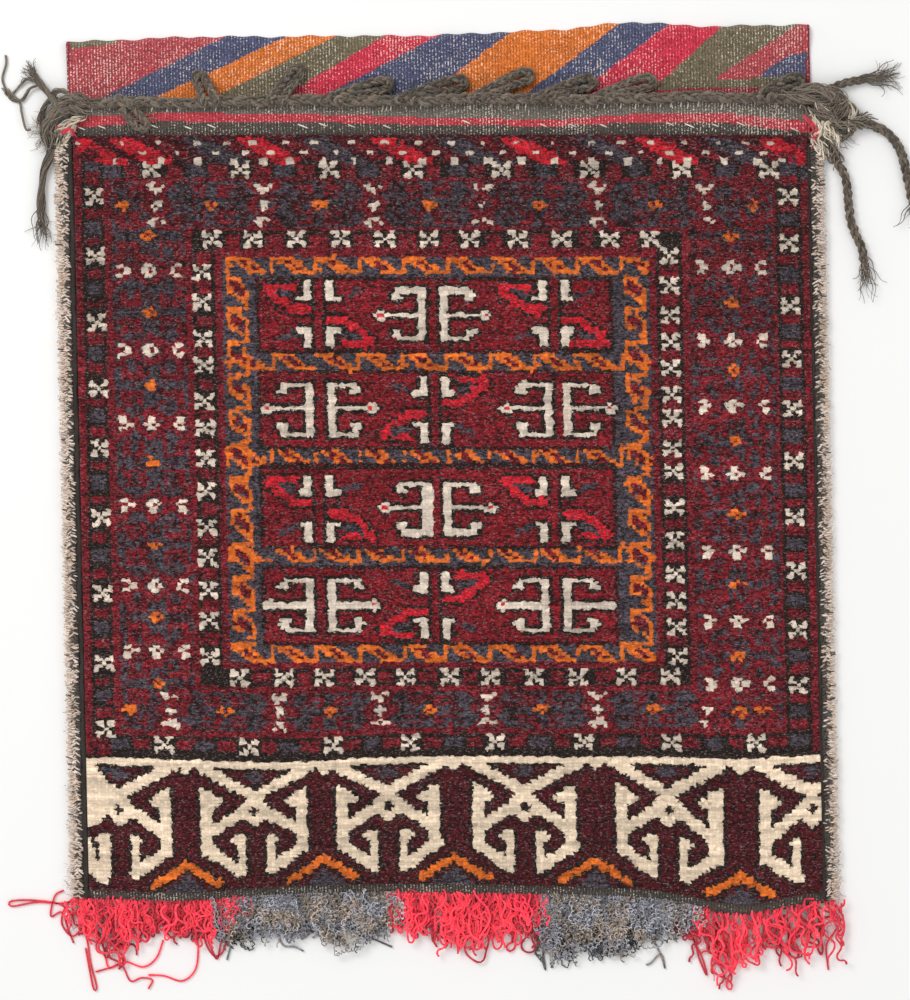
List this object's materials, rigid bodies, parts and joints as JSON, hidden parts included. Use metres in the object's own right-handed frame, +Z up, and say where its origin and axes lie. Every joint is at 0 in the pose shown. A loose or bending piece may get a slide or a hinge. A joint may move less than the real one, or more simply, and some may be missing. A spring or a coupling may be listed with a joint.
{
  "type": "tent bag",
  "caption": "Flat woven tent bag with a knotted-pile face, a striped flat-woven back and flap, laced sides, braided closing loops and a yarn fringe.",
  "frame": {"origin": "middle of the flat underside of the back panel, on the surface that the bag lies on", "axes": "+Z up out of the pile face, +Y from the foot of the bag to its mouth, +X to the right seen from above"},
  "size_m": [0.6633, 0.6877, 0.0215],
  "materials": {
    "pile_wool": "worn knotted wool pile",
    "kilim_wool": "ribbed flat weave",
    "lacing_yarn": "overcast wool and cotton yarn",
    "goat_hair": "plaited goat hair",
    "red_fringe_yarn": "looped two-ply yarn",
    "grey_fringe_yarn": "curly fuzzy wool yarn"
  },
  "bodies": {
    "root": {"pile_face_panel": "pile_wool", "kilim_back_panel": "kilim_wool", "left_side_lacing": "lacing_yarn", "right_side_lacing": "lacing_yarn", "mouth_cord": "goat_hair", "mouth_tuft": "goat_hair", "left_corner_knot": "goat_hair", "right_corner_knot": "goat_hair", "closing_loop_1": "goat_hair", "closing_loop_2": "goat_hair", "closing_loop_3": "goat_hair", "closing_loop_4": "goat_hair", "closing_loop_5": "goat_hair", "closing_loop_6": "goat_hair", "closing_loop_7": "goat_hair", "closing_loop_8": "goat_hair", "right_upper_tie": "goat_hair", "right_middle_tie": "goat_hair", "right_lower_tie": "goat_hair", "left_upper_tuft": "goat_hair", "left_yarn_end": "goat_hair", "left_lower_tuft": "goat_hair", "red_fringe_left": "red_fringe_yarn", "grey_fringe_left": "grey_fringe_yarn", "red_fringe_middle": "red_fringe_yarn", "grey_fringe_right": "grey_fringe_yarn", "red_fringe_right": "red_fringe_yarn"}
  },
  "joints": []
}
